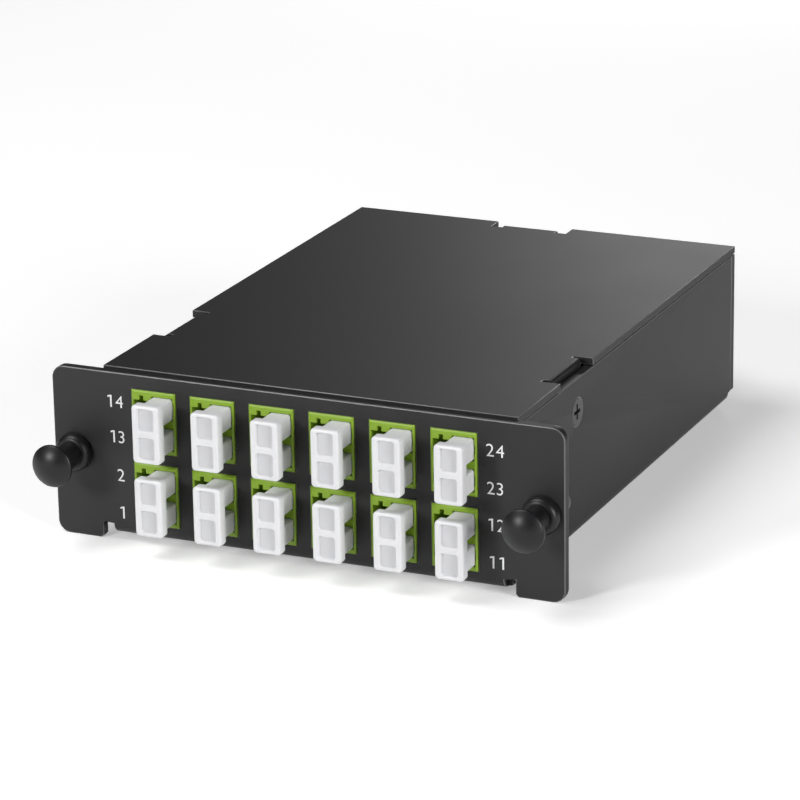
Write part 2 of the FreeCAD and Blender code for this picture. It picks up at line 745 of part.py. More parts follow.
def adapter_clips():
    """The spring clips that hold the adapters against the plate, a strap with two flared tongues each."""
    body = new_body("adapter_clip")
    strap = new_sketch(body, "clip_strap", "XZ", "-clip_play")
    inner_x, inner_z = "(adapter_width / 2 + clip_play)", "(adapter_height / 2 + clip_play)"
    outer_x, outer_z = f"({inner_x} + clip_sheet)", f"({inner_z} + clip_sheet)"
    outline(strap, [
        (f"-{outer_x}", f"-{inner_z}"), (f"-{inner_x}", f"-{inner_z}"),
        (f"-{inner_x}", inner_z), (inner_x, inner_z),
        (inner_x, f"-{inner_z}"), (outer_x, f"-{inner_z}"), (outer_x, outer_z), (f"-{outer_x}", outer_z),
    ])
    pad(body, strap, "clip_width", back=True)
    tongue = new_sketch(body, "clip_tongue", "XY", f"-{inner_z} / 2")
    outline(tongue, [
        (inner_x, "clip_width"), (outer_x, "clip_width"), (f"{outer_x} + clip_flare", "clip_play"),
        (f"{inner_x} + clip_flare", "clip_play"),
    ])
    leaf = pad(body, tongue, inner_z)
    mirror(body, [leaf], "YZ")
    places = [(f"adapter_clip_{number:02d}", at, AS_BUILT) for number, at in adapter_places()]
    return group("adapter_clips", copies(body, places))


def lc_dust_cap():
    """A duplex dust cap: a block with two square dimples and two hollow necks that fill the ports."""
    body = new_body("lc_dust_cap_01", *dust_cap_place(*dict(adapter_places())[1]))
    block = new_sketch(body, "cap_block", "XZ", f"{RIM_FRONT} + cap_stand + cap_depth")
    rectangle(block, "0", "0", "cap_width", "cap_height")
    pad(body, block, "cap_depth", back=True)

    def long_edges(middle, way):
        return along(way, Y_AXIS)

    dress(body, "Fillet", edges_where(body, long_edges), "cap_corner")
    dimples = new_sketch(body, "cap_dimples", "XZ", f"{RIM_FRONT} + cap_stand + cap_depth")
    necks = new_sketch(body, "cap_necks", "XZ", f"{RIM_FRONT} + cap_stand")
    bores = new_sketch(body, "cap_bores", "XZ", f"{RIM_FRONT} - cap_reach")
    for side in SIDES.values():
        port = f"{side} * port_pitch / 2"
        rectangle(dimples, "0", f"{side} * cap_recess_pitch / 2", "cap_recess_width", "cap_recess_height")
        rectangle(necks, "0", port, "port_width - 2 * cap_play", "port_height - 2 * cap_play")
        circle(bores, "0", port, "cap_bore")
    pocket(body, dimples, "cap_recess_depth", back=False)
    pad(body, necks, "cap_stand + cap_reach", back=True)
    pocket(body, bores, "cap_bore_depth", back=True)
    return body


def dust_cap_place(x, y, z):
    """A dust cap sits in line with the ports of its adapter."""
    return f"{x} + port_shift", y, z


def lc_dust_caps():
    """The dust caps of all adapters."""
    places = [(f"lc_dust_cap_{number:02d}", dust_cap_place(*at), AS_BUILT) for number, at in adapter_places()]
    master = lc_dust_cap()
    return [master] + copies(master, places[1:])


def latch_grommet():
    """The sleeve of a latch: a collar on the plate, a shoulder in it, a barrel and split legs behind it."""
    body = new_body("latch_grommet_left", f"-{LATCH}")
    bore, barrel, collar = "(pin_dia / 2 + pin_play)", "grommet_dia / 2", "collar_dia / 2"
    front = "(-sheet - collar_length)"
    turned = new_sketch(body, "grommet_profile", "XY")
    outline(turned, [
        (bore, front), (f"{collar} - collar_round", front),
        (collar, f"{front} + collar_round"), (collar, "-sheet"),
        ("shoulder_dia / 2", "-sheet"), ("shoulder_dia / 2", "0"), (barrel, "0"),
        (barrel, "grommet_length - grommet_taper"), ("grommet_tip_dia / 2", "grommet_length"),
        (bore, "grommet_length"),
    ], {1: (f"{collar} - collar_round", f"{front} + collar_round", 1)})
    revolve(body, turned, "V_Axis")
    slits = new_sketch(body, "grommet_slits", "XZ", "-grommet_length")
    rectangle(slits, "0", "0", "grommet_slit", "2 * grommet_dia")
    pocket(body, slits, "grommet_length - sheet / 2", back=True)
    return body


def latch_plunger():
    """The knob of a latch with its neck and the pin that spreads the legs."""
    body = new_body("latch_plunger_left", f"-{LATCH}")
    turned = new_sketch(body, "plunger_profile", "XY")
    seat = "(-sheet - collar_length - knob_gap)"
    under = f"({seat} - neck_length)"
    edge = f"({under} - knob_taper - knob_rim)"
    dome_radius = "((knob_dia * knob_dia / 4 + knob_dome * knob_dome) / (2 * knob_dome))"
    outline(turned, [
        ("0", f"{edge} - knob_dome"), ("0", "pin_length"), ("pin_dia / 2 - pin_tip / 2", "pin_length"),
        ("pin_dia / 2", "pin_length - pin_tip"), ("pin_dia / 2", seat), ("neck_dia / 2", seat),
        ("neck_dia / 2", under), ("knob_dia / 2", f"{under} - knob_taper"), ("knob_dia / 2", edge),
    ], {8: ("0", f"{edge} - knob_dome + {dome_radius}", -1)})
    revolve(body, turned, "V_Axis")
    return body


def inlet_port(sketch):
    """The opening of a multi-fibre inlet, with the key slot in its upper side."""
    half, height = "inlet_port_width / 2", "inlet_port_height / 2"
    key, top = "inlet_key_width / 2", "inlet_port_height / 2 + inlet_key_height"
    outline(sketch, [
        (f"-{half}", f"-{height}"), (half, f"-{height}"), (half, height), (key, height),
        (key, top), (f"-{key}", top), (f"-{key}", height), (f"-{half}", height),
    ])


def mpo_adapter():
    """An inlet of the rear wall: body, flange, a keyed port from each end and the window between them."""
    body = new_body("mpo_adapter_left", "-inlet_pitch / 2", "tray_depth")
    outer = "(inlet_flange + inlet_proud)"
    port_depth = f"({outer} + inlet_depth - inlet_web) / 2"
    shell = new_sketch(body, "inlet_shell", "XZ", "inlet_depth")
    rectangle(shell, "0", "0", "inlet_width", "inlet_height")
    pad(body, shell, f"inlet_depth + {outer}", back=True)
    flange = new_sketch(body, "inlet_flange_plate", "XZ", "0")
    rectangle(flange, "0", "0", "inlet_flange_width", "inlet_height + inlet_lap")
    for end in SIDES.values():
        circle(flange, f"{end} * inlet_screw_pitch / 2", "0", f"inlet_screw_dia + {INLET_PLAY}")
    pad(body, flange, "inlet_flange", back=True)
    rear = new_sketch(body, "inlet_port_rear", "XZ", f"-{outer}")
    inlet_port(rear)
    pocket(body, rear, port_depth, back=True)
    inner = new_sketch(body, "inlet_port_inner", "XZ", "inlet_depth")
    inlet_port(inner)
    pocket(body, inner, port_depth)
    window = new_sketch(body, "inlet_window", "XZ", f"-{outer}")
    rectangle(window, "0", "0", "inlet_window_width", "inlet_window_height")
    pocket(body, window, f"{outer} + inlet_depth", back=True)
    return body


def mpo_adapter_screws():
    """The slotted screws of both inlets, two in each flange."""
    body = new_body("mpo_adapter_screw")
    turned = new_sketch(body, "inlet_screw_profile", "XY")
    outline(turned, [
        ("0", "inlet_screw_head"), ("0", "-inlet_screw_length"), ("inlet_screw_dia / 2", "-inlet_screw_length"),
        ("inlet_screw_dia / 2", "0"), ("inlet_screw_head_dia / 2", "0"),
        ("inlet_screw_head_dia / 2", "inlet_screw_head"),
    ])
    revolve(body, turned, "V_Axis")
    slot = new_sketch(body, "inlet_screw_slot", "XZ", "-inlet_screw_head")
    rectangle(slot, "0", "0", "inlet_screw_head_dia + cut_margin", "inlet_slot_width")
    pocket(body, slot, "inlet_slot_depth")
    places = []
    for name, side in SIDES.items():
        for end_name, end in SIDES.items():
            at = (f"{side} * inlet_pitch / 2 + {end} * inlet_screw_pitch / 2", "tray_depth + inlet_flange", "0")
            places.append((f"mpo_adapter_screw_{name}_{end_name}", at, AS_BUILT))
    return group("mpo_adapter_screws", copies(body, places))


def mpo_dust_cap():
    """The plug that closes an inlet: a grip and a neck that fills the port."""
    body = new_body("mpo_dust_cap_left", "-inlet_pitch / 2", INLET_FACE)
    grip = new_sketch(body, "inlet_cap_grip", "XZ", "-inlet_cap_seat")
    rectangle(grip, "0", "0", "inlet_cap_width", "inlet_cap_height")
    pad(body, grip, "inlet_cap_depth", back=True)

    def long_edges(middle, way):
        return along(way, Y_AXIS)

    dress(body, "Fillet", edges_where(body, long_edges), "inlet_cap_corner")
    neck = new_sketch(body, "inlet_cap_neck", "XZ", "-inlet_cap_seat")
    rectangle(neck, "0", "0", "inlet_port_width - 2 * inlet_cap_play", "inlet_port_height - 2 * inlet_cap_play")
    pad(body, neck, "inlet_cap_reach + inlet_cap_seat")
    return body


def lc_plug_pair():
    """An inner duplex connector: two plugs with ferrules, the clip that joins them and two stepped boots."""
    body = new_body("lc_plug_pair_01", *dict(adapter_places())[1])
    front = f"({WEB_MIDDLE} + web / 2 + plug_gap)"
    plugs = new_sketch(body, "plug_bodies", "XZ", f"-{front}")
    recesses = new_sketch(body, "plug_recesses", "XZ", f"-{front}")
    ferrules = new_sketch(body, "plug_ferrules", "XZ", f"-({WEB_MIDDLE} + ferrule_play)")
    collars = new_sketch(body, "plug_boot_collars", "XZ", f"-({front} + plug_length)")
    boots = new_sketch(body, "plug_boots", "XZ", f"-({front} + plug_length)")
    for side in SIDES.values():
        at = ("port_shift", f"{side} * port_pitch / 2")
        rectangle(plugs, *at, "port_width - 2 * plug_play", "port_height - 2 * plug_play")
        circle(recesses, *at, "holder_dia + 2 * plug_play")
        circle(ferrules, *at, "ferrule_dia")
        circle(collars, *at, "boot_dia")
        circle(boots, *at, "boot_tip_dia")
    pad(body, plugs, "plug_length", back=True)
    pocket(body, recesses, "plug_recess")
    pad(body, ferrules, "plug_gap + web / 2 - ferrule_play + plug_recess", back=True)
    yoke = new_sketch(body, "plug_yoke", "XZ", "-(adapter_reach + yoke_place)")
    rectangle(yoke, "port_shift", "0", "yoke_width", "yoke_height")
    pad(body, yoke, "yoke_length", back=True)
    pad(body, collars, "boot_collar", back=True)
    pad(body, boots, "boot_length", back=True)
    return body


def mpo_plug():
    """An inner multi-fibre connector: ferrule, body and tapered boot."""
    body = new_body("mpo_plug_left", "-inlet_pitch / 2", "tray_depth")
    front = TRUNK_FRONT
    shell = new_sketch(body, "trunk_plug_body", "XZ", front)
    width, height = "inlet_port_width - 2 * trunk_plug_play", "inlet_port_height - 2 * trunk_plug_play"
    rectangle(shell, "0", "0", width, height)
    pad(body, shell, "trunk_plug_length")
    ferrule = new_sketch(body, "trunk_ferrule", "XZ", front)
    rectangle(ferrule, "0", "0", "trunk_ferrule_width", "trunk_ferrule_height")
    pad(body, ferrule, "trunk_plug_gap + inlet_web / 2", back=True)
    boot = new_sketch(body, "trunk_boot", "XY")
    start = f"-({front} + trunk_plug_length)"
    outline(boot, [
        ("0", f"{start} - trunk_boot_length"), ("trunk_boot_tip_dia / 2", f"{start} - trunk_boot_length"),
        ("trunk_boot_dia / 2", start), ("0", start),
    ])
    revolve(body, boot, "V_Axis")
    return body


def racetrack(sketch, radius):
    """Two half circles of a radius joined by straight lines, about the ends of the coil."""
    low, high = f"{COIL_CENTRE} - {radius}", f"{COIL_CENTRE} + {radius}"
    outline(sketch, [
        (f"-{COIL_HALF}", low), (COIL_HALF, low), (COIL_HALF, high), (f"-{COIL_HALF}", high),
    ], {1: (COIL_HALF, COIL_CENTRE, 1), 3: (f"-{COIL_HALF}", COIL_CENTRE, 1)})


def fibre_coil():
    """The spare length of the fibres, coiled into a band round the guides."""
    body = new_body("fibre_coil", z=COIL_LOW)
    band = new_sketch(body, "coil_band", "XY")
    racetrack(band, COIL_RADIUS)
    racetrack(band, f"({COIL_RADIUS} - coil_thickness)")
    pad(body, band, f"coil_high - {COIL_LOW}")
    return body


def fibre_guide():
    """A half-round post on the floor with a foot under the coil and a lip over it."""
    body = new_body("fibre_guide_right", COIL_HALF, COIL_CENTRE, FLOOR_TOP)
    outer = f"({COIL_RADIUS} - coil_thickness - guide_play)"
    inner = f"({outer} - guide_wall)"
    foot = new_sketch(body, "guide_foot", "XY")
    outline(foot, [
        ("-guide_back", f"-{COIL_RADIUS}"), ("0", f"-{COIL_RADIUS}"),
        ("0", COIL_RADIUS), ("-guide_back", COIL_RADIUS),
    ], {1: ("0", "0", 1)})
    pad(body, foot, "foot_thickness")
    wall = new_sketch(body, "guide_wall_ring", "XY")
    outline(wall, [("0", f"-{outer}"), ("0", outer), ("0", inner), ("0", f"-{inner}")],
            {0: ("0", "0", 1), 2: ("0", "0", -1)})
    rise = f"(coil_high + guide_play - {FLOOR_TOP})"
    pad(body, wall, rise)
    lip = new_sketch(body, "guide_lip_plate", "XY", rise)
    outline(lip, [
        (f"{inner} / 2", "-guide_span / 2"), (f"{outer} + guide_lip", "-guide_span / 2"),
        (f"{outer} + guide_lip", "guide_span / 2"), (f"{inner} / 2", "guide_span / 2"),
    ])
    pad(body, lip, "guide_lip_thickness")
    return body


def quarter_turn(body, straight, bend, run, thick, high):
    """A lead that leaves its boot along Y, turns through a quarter and lies along X on the coil."""
    path = new_sketch(body, f"{body.Name}_path", "XY")
    end = f"{straight} + {bend}"
    corner = [("0", "0"), ("0", straight), (bend, end), (f"{bend} + {run}", end)]
    points = [FreeCAD.Vector(value(x), value(y), 0) for x, y in corner]
    centre = FreeCAD.Vector(value(bend), value(straight), 0)
    path.addGeometry(Part.LineSegment(points[0], points[1]), False)
    path.addGeometry(arc_between(points[1], points[2], centre, -1), False)
    path.addGeometry(Part.LineSegment(points[2], points[3]), False)
    fix_point(path, 0, 1, *corner[0])
    fix_point(path, 0, 2, *corner[1])
    fix_point(path, 2, 1, *corner[2])
    fix_point(path, 2, 2, *corner[3])
    first, last = corner_ends(path, 1, points[1])
    path.addConstraint(Sketcher.Constraint("Coincident", 0, 2, 1, first))
    path.addConstraint(Sketcher.Constraint("Coincident", 1, last, 2, 1))
    fix_centre(path, 1, points[2] - points[1], bend, straight)
    section = new_sketch(body, f"{body.Name}_section", "XZ")
    if thick == high:
        circle(section, "0", "0", thick)
    else:
        rectangle(section, "0", "0", thick, high)
    pipe = body.newObject("PartDesign::AdditivePipe", f"{body.Name}_pipe")
    pipe.Profile = section
    pipe.Spine = (path, [])
    body.Tip = pipe
    return pipe


def fibre_leads():
    """The twin leads from the connectors' boots to the coil, six in each row, turned towards its middle."""
    body = new_body("fibre_lead")
    straight = "(coil_front_gap - lead_width / 2 - lead_bend)"
    quarter_turn(body, straight, "lead_bend", "lead_run", "lead_width", "lead_height")
    groups = []
    for row in ROWS:
        places = []
        for column in range(COLUMNS):
            at = (f"{column_place(column)} + port_shift", BOOT_TIP, row_place(row))
            turn = AS_BUILT if column < COLUMNS / 2 else TURNED_ACROSS
            places.append((f"fibre_lead_{row}_{column + 1}", at, turn))
        groups.append(group(f"fibre_leads_{row}", copies(body, places)))
    return groups


def trunk_lead():
    """The round lead from the right inlet's connector to the coil; it is turned about to run forward."""
    body = new_body("trunk_lead_right", "inlet_pitch / 2", TRUNK_TIP, turn=TURNED_ABOUT)
    straight = "(coil_rear_gap - trunk_dia / 2 - trunk_bend)"
    quarter_turn(body, straight, "trunk_bend", "lead_run", "trunk_dia", "trunk_dia")
    return body


def pair(master, old, new, x, y, z, turn=AS_BUILT):
    """A sub-part and its linked fellow on the other side."""
    return [master] + copies(master, [(master.Label.replace(old, new), (x, y, z), turn)])


fill_sheet()
PARTS = [base_tray(), top_cover(), cover_screws()]
PARTS += numbered(lc_adapter(), "lc_adapter")
PARTS += [sleeve_holders(), alignment_sleeves(), adapter_clips()]
PARTS += lc_dust_caps()
PARTS += pair(latch_grommet(), "left", "right", LATCH, "0", "0")
PARTS += pair(latch_plunger(), "left", "right", LATCH, "0", "0")
PARTS += pair(mpo_adapter(), "left", "right", "inlet_pitch / 2", "tray_depth", "0")
PARTS += [mpo_adapter_screws()]
PARTS += pair(mpo_dust_cap(), "left", "right", "inlet_pitch / 2", INLET_FACE, "0")
PARTS += numbered(lc_plug_pair(), "lc_plug_pair")
PARTS += pair(mpo_plug(), "left", "right", "inlet_pitch / 2", "tray_depth", "0")
PARTS += [fibre_coil()]
PARTS += pair(fibre_guide(), "right", "left", f"-{COIL_HALF}", COIL_CENTRE, FLOOR_TOP, TURNED_ABOUT)
PARTS += fibre_leads()
PARTS += pair(trunk_lead(), "right", "left", "-inlet_pitch / 2", TRUNK_TIP, "0", TURNED_OVER)
doc.recompute()


def check(parts):
    """Stop on any failed object and on any empty or faulty shape."""
    for item in doc.Objects:
        if "Invalid" in item.State or "Error" in item.State:
            raise SystemExit(f"{item.Label} failed: {item.State}")
    for part in parts:
        shape = Part.getShape(part)
        if shape.isNull() or not shape.isValid():
            raise SystemExit(f"{part.Label} has a faulty shape")


check(PARTS)
os.makedirs("parts", exist_ok=True)
for part in PARTS:
    shape = Part.getShape(part)
    shape.exportStep(f"parts/{part.Label}.step")
    print(part.Label, len(shape.Solids), round(shape.Volume, 1))
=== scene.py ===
import json
import math

import bmesh
import bpy
from mathutils import Matrix, Vector


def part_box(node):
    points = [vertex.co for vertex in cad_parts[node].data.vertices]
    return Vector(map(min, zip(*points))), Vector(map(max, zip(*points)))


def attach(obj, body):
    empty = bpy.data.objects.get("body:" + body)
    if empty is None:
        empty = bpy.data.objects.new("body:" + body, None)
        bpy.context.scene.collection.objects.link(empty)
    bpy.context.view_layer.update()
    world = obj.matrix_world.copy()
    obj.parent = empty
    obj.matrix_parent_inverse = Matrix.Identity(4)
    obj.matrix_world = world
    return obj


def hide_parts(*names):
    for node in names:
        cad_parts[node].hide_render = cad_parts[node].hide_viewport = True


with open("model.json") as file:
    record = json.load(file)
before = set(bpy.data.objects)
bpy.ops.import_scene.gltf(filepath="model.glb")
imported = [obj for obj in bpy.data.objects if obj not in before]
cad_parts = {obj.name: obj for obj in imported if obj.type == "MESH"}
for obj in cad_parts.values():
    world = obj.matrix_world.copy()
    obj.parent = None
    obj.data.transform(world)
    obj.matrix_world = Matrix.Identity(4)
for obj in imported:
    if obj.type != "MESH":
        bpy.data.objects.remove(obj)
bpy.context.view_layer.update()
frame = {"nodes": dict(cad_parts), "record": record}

# Lengths are in metres, and MM turns the millimetres of a drawing into them. X runs to the right, Y to the rear
# and Z up; the origin lies between the latches, on the rear face of the front plate.
MM = 0.001
NUMBERS = [f"{number:02d}" for number in range(1, 13)]
SIDES = {"left": -1, "right": 1}
CASE = "cassette"

# Places that the pieces share
PLATE_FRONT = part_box("base_tray")[0].y
FLOOR_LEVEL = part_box("base_tray")[0].z


class Value:
    """A number or colour that runs through a finish; sums on it add the finish's Math nodes."""

    def __init__(self, finish, socket):
        self.finish = finish
        self.socket = socket

    def sum(self, operation, first, second):
        return self.finish.node("ShaderNodeMath", {"operation": operation}, {0: first, 1: second})

    def __add__(self, other):
        return self.sum("ADD", self, other)

    def __radd__(self, other):
        return self.sum("ADD", other, self)

    def __mul__(self, other):
        return self.sum("MULTIPLY", self, other)

    def __rmul__(self, other):
        return self.sum("MULTIPLY", other, self)


class Finish:
    """A finish of the cassette: one material and the nodes that vary it."""

    def __init__(self, name, colour, roughness, **constants):
        self.material = bpy.data.materials.new(name)
        self.material.use_nodes = True
        self.tree = self.material.node_tree
        self.shader = self.tree.nodes["Principled BSDF"]
        self.place = self.node("ShaderNodeTexCoord", output="Object")
        self.set(Base_Color=(*colour, 1.0), Roughness=roughness, **constants)

    def node(self, kind, settings=None, inputs=None, output=0):
        """A node with its settings made first and its inputs filled or linked; gives one of its outputs."""
        made = self.tree.nodes.new(kind)
        for name, setting in (settings or {}).items():
            if name == "stops":
                self.fill_ramp(made.color_ramp, setting)
            else:
                setattr(made, name, setting)
        for name, value in (inputs or {}).items():
            self.join(made.inputs[name], value)
        return Value(self, made.outputs[output])

    def fill_ramp(self, ramp, stops):
        while len(ramp.elements) < len(stops):
            ramp.elements.new(1.0)
        for element, (position, colour) in zip(ramp.elements, stops):
            element.position = position
            element.color = (*colour, 1.0)

    def join(self, socket, value):
        if isinstance(value, Value):
            self.tree.links.new(value.socket, socket)
        else:
            socket.default_value = value

    def set(self, **values):
        """Fill or link the shader's own sockets; an underscore stands for the space in a socket's name."""
        for name, value in values.items():
            self.join(self.shader.inputs[name.replace("_", " ")], value)

    def noise(self, scale, detail=2.0, roughness=0.5):
        """Grain that depends on the place on the piece, from 0 to 1; scale counts features in a metre."""
        inputs = {"Vector": self.place, "Scale": scale, "Detail": detail, "Roughness": roughness}
        return self.node("ShaderNodeTexNoise", {"noise_dimensions": "3D"}, inputs)

    def blend(self, share, first, second):
        """A colour between two, by a share from 0 to 1."""
        stops = [(0.0, first), (1.0, second)]
        return self.node("ShaderNodeValToRGB", {"stops": stops}, {0: share})

    def relief(self, height, depth, strength=1.0):
        """Bump from a height between 0 and 1, a depth in metres deep."""
        bump = self.node("ShaderNodeBump", None, {"Strength": strength, "Distance": depth, "Height": height})
        self.set(Normal=bump)


def powder_coat(name, level, roughness, gloss):
    """Matt black powder coat: an even orange peel with fine grain."""
    finish = Finish(name, (level, level, level), roughness, Specular_IOR_Level=gloss)
    peel = finish.noise(2600.0, detail=3.0, roughness=0.6)
    drift = finish.noise(28.0, detail=2.0)
    finish.set(Base_Color=finish.blend(drift, (level * 0.92,) * 3, (level * 1.08, level * 1.08, level * 1.1)))
    finish.set(Roughness=roughness - 0.04 + 0.06 * drift + 0.03 * peel)
    finish.relief(peel, 0.012 * MM, 0.5)
    return finish.material


def moulded_lime(name, colour, shade):
    """Lime green moulded plastic with a satin skin and faint flow marks."""
    finish = Finish(name, colour, 0.38, Specular_IOR_Level=0.45)
    flow = finish.noise(180.0, detail=3.0)
    skin = finish.noise(5200.0, detail=2.0)
    finish.set(Base_Color=finish.blend(flow, shade, colour))
    finish.set(Roughness=0.33 + 0.10 * flow + 0.05 * skin)
    finish.relief(skin, 0.004 * MM, 0.4)
    return finish.material


# The dust caps' slight blue cast
CAP_BLUE = 0.015


def cap_plastic(name, level):
    """Milky soft plastic of the dust caps."""
    finish = Finish(
        name, (level, level, level + CAP_BLUE), 0.42, Subsurface_Weight=0.2, Subsurface_Scale=0.6 * MM,
        Subsurface_Radius=(1.0, 0.9, 0.85), Specular_IOR_Level=0.4,
    )
    cloud = finish.noise(350.0, detail=3.0)
    skin = finish.noise(4200.0, detail=2.0)
    dim, pale = [(level * share, level * share, level * share + CAP_BLUE) for share in (0.97, 1.02)]
    finish.set(Base_Color=finish.blend(cloud, dim, pale))
    finish.set(Roughness=0.38 + 0.08 * cloud)
    finish.relief(skin, 0.004 * MM, 0.4)
    return finish.material


def polished_nylon():
    """Satin black nylon of the latches, very slightly scuffed by fingers."""
    finish = Finish("polished_nylon", (0.008, 0.008, 0.009), 0.38, Specular_IOR_Level=0.35)
    scuff = finish.noise(900.0, detail=4.0, roughness=0.65)
    finish.set(Roughness=0.34 + 0.08 * scuff)
    finish.set(Base_Color=finish.blend(scuff, (0.007, 0.007, 0.008), (0.010, 0.010, 0.011)))
    finish.relief(scuff, 0.003 * MM, 0.3)
    return finish.material


def matte_black(name, level, roughness):
    """Plain black moulding of the inlets, guides and caps behind."""
    finish = Finish(name, (level, level, level), roughness, Specular_IOR_Level=0.4)
    skin = finish.noise(3400.0, detail=2.0)
    cloud = finish.noise(120.0)
    finish.set(Base_Color=finish.blend(cloud, (level * 0.8,) * 3, (level * 1.2,) * 3))
    finish.set(Roughness=roughness - 0.04 + 0.08 * cloud)
    finish.relief(skin, 0.006 * MM, 0.5)
    return finish.material


def metal(name, colour, roughness, brushed):
    """Bare or plated metal with fine marks along the piece."""
    finish = Finish(name, colour, roughness, Metallic=1.0)
    stretch = finish.node("ShaderNodeMapping", None, {"Vector": finish.place, "Scale": (brushed, 1.0, 1.0)})
    marks = finish.node("ShaderNodeTexNoise", None, {"Vector": stretch, "Scale": 1800.0, "Detail": 3.0})
    finish.set(Roughness=roughness - 0.05 + 0.12 * marks)
    finish.relief(marks, 0.003 * MM, 0.4)
    return finish.material


def black_zinc():
    """Dark plated screw steel."""
    finish = Finish("black_zinc", (0.05, 0.05, 0.052), 0.36, Metallic=0.6)
    marks = finish.noise(2400.0, detail=3.0)
    finish.set(Roughness=0.30 + 0.14 * marks)
    finish.relief(marks, 0.004 * MM, 0.4)
    return finish.material


def ceramic():
    """Ground white ceramic of the alignment sleeves."""
    finish = Finish("sleeve_ceramic", (0.82, 0.81, 0.78), 0.25)
    grind = finish.noise(3000.0, detail=2.0)
    finish.set(Roughness=0.20 + 0.12 * grind)
    return finish.material


def fibre_jacket():
    """Smooth soft jacket of the fibres, with the single turns just showing."""
    finish = Finish("fibre_jacket", (0.28, 0.46, 0.04), 0.5)
    inputs = {"Vector": finish.place, "Scale": 550.0, "Distortion": 1.2, "Detail": 1.0}
    turns = finish.node("ShaderNodeTexWave", {"bands_direction": "Z"}, inputs, output="Fac")
    # The colour follows the relief and is darker in its troughs: painted shade between the turns.
    finish.set(Base_Color=finish.blend(turns, (0.20, 0.35, 0.03), (0.30, 0.50, 0.05)))
    finish.relief(turns, 0.15 * MM, 0.6)
    return finish.material


def printed_white():
    """Screen-printed ink of the port numbers."""
    finish = Finish("printed_white", (0.82, 0.82, 0.82), 0.5)
    grain = finish.noise(3000.0, detail=2.0)
    finish.set(Base_Color=finish.blend(grain, (0.74, 0.74, 0.74), (0.86, 0.86, 0.86)))
    return finish.material


LIME, LIME_SHADE = (0.232, 0.380, 0.020), (0.212, 0.350, 0.017)
FINISHES = {
    "powder_coat": powder_coat("powder_coat", 0.008, 0.53, 0.5),
    # A much lighter, glossier copy of the coat for the rounded edges of case and lid: a painted highlight along
    # the edges.
    "edge_highlight": powder_coat("edge_highlight", 0.100, 0.40, 0.8),
    "black_screw": black_zinc(),
    "adapter_lime": moulded_lime("adapter_lime", LIME, LIME_SHADE),
    "cap_white": cap_plastic("cap_white", 0.73),
    # A darker copy of the cap plastic for the dimple floors and inner walls: painted shade in the recesses.
    "cap_dimple_shade": cap_plastic("cap_dimple_shade", 0.62),
    "latch_nylon": polished_nylon(),
    "inlet_plastic": matte_black("inlet_plastic", 0.028, 0.45),
    "inlet_screw": metal("inlet_screw", (0.60, 0.60, 0.61), 0.32, 1.0),
    "inlet_cap": matte_black("inlet_cap", 0.022, 0.6),
    "clip_steel": metal("clip_steel", (0.70, 0.70, 0.70), 0.28, 0.1),
    "sleeve_ceramic": ceramic(),
    "plug_lime": moulded_lime("plug_lime", LIME, LIME_SHADE),
    "trunk_plug": moulded_lime("trunk_plug", (0.230, 0.440, 0.030), (0.205, 0.400, 0.026)),
    "fibre_jacket": fibre_jacket(),
    "guide_plastic": matte_black("guide_plastic", 0.035, 0.5),
    "print": printed_white(),
}


def dress_nodes():
    """Give each CAD node the finish of its material slot."""
    for subpart in frame["record"]["subparts"]:
        piece = frame["nodes"][subpart["node"]]
        piece.data.materials.clear()
        piece.data.materials.append(FINISHES[subpart["material_slot"]])


def settle(shape, name, finish, body, replaced=(), second=None):
    """Make an object of a finished shape, in its place, riding on its body."""
    mesh = bpy.data.meshes.new(name)
    shape.to_mesh(mesh)
    shape.free()
    piece = bpy.data.objects.new(name, mesh)
    bpy.context.scene.collection.objects.link(piece)
    mesh.materials.append(FINISHES[finish])
    if second:
        mesh.materials.append(FINISHES[second])
    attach(piece, body)
    for node in replaced:
        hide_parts(node)
    return piece


def ring_of(shape, width, height, radius, y, corner_steps=6):
    """A rounded rectangle of vertices and edges in the XZ plane at a depth; gives its edges."""
    count = 4 * (corner_steps + 1)
    turn = Matrix.Rotation(math.radians(90.0), 4, "X")
    made = bmesh.ops.create_circle(shape, cap_ends=False, segments=count, radius=1.0, matrix=turn)
    around = sorted(made["verts"], key=lambda vertex: math.atan2(vertex.co.z, vertex.co.x))
    for number, corner in enumerate(around):
        quarter, step = divmod(number, corner_steps + 1)
        angle = math.radians(-180.0 + 90.0 * quarter + 90.0 * step / corner_steps)
        side_x = -1.0 if quarter in (0, 3) else 1.0
        side_z = -1.0 if quarter in (0, 1) else 1.0
        corner.co.x = side_x * (width / 2 - radius) + radius * math.cos(angle)
        corner.co.y = y
        corner.co.z = side_z * (height / 2 - radius) + radius * math.sin(angle)
    return list(dict.fromkeys(edge for vertex in made["verts"] for edge in vertex.link_edges))


def moved(shape, edges, x, z):
    """Move a ring in its plane."""
    corners = list(dict.fromkeys(vertex for edge in edges for vertex in edge.verts))
    bmesh.ops.translate(shape, verts=corners, vec=(x, 0.0, z))
    return edges


def skin(shape, rings, finish=0):
    """Join rings of equal count one after another."""
    for first, second in zip(rings, rings[1:]):
        made = bmesh.ops.bridge_loops(shape, edges=first + second)
        for face in made["faces"]:
            face.smooth = True
            face.material_index = finish


def lid(shape, *rings, finish=0):
    """Close a ring with a flat face, less the rings inside it."""
    edges = [edge for ring in rings for edge in ring]
    if len(rings) == 1:
        made = bmesh.ops.contextual_create(shape, geom=edges)
        for face in made["faces"]:
            face.material_index = finish
    else:
        bmesh.ops.triangle_fill(shape, use_beauty=True, use_dissolve=False, edges=edges)
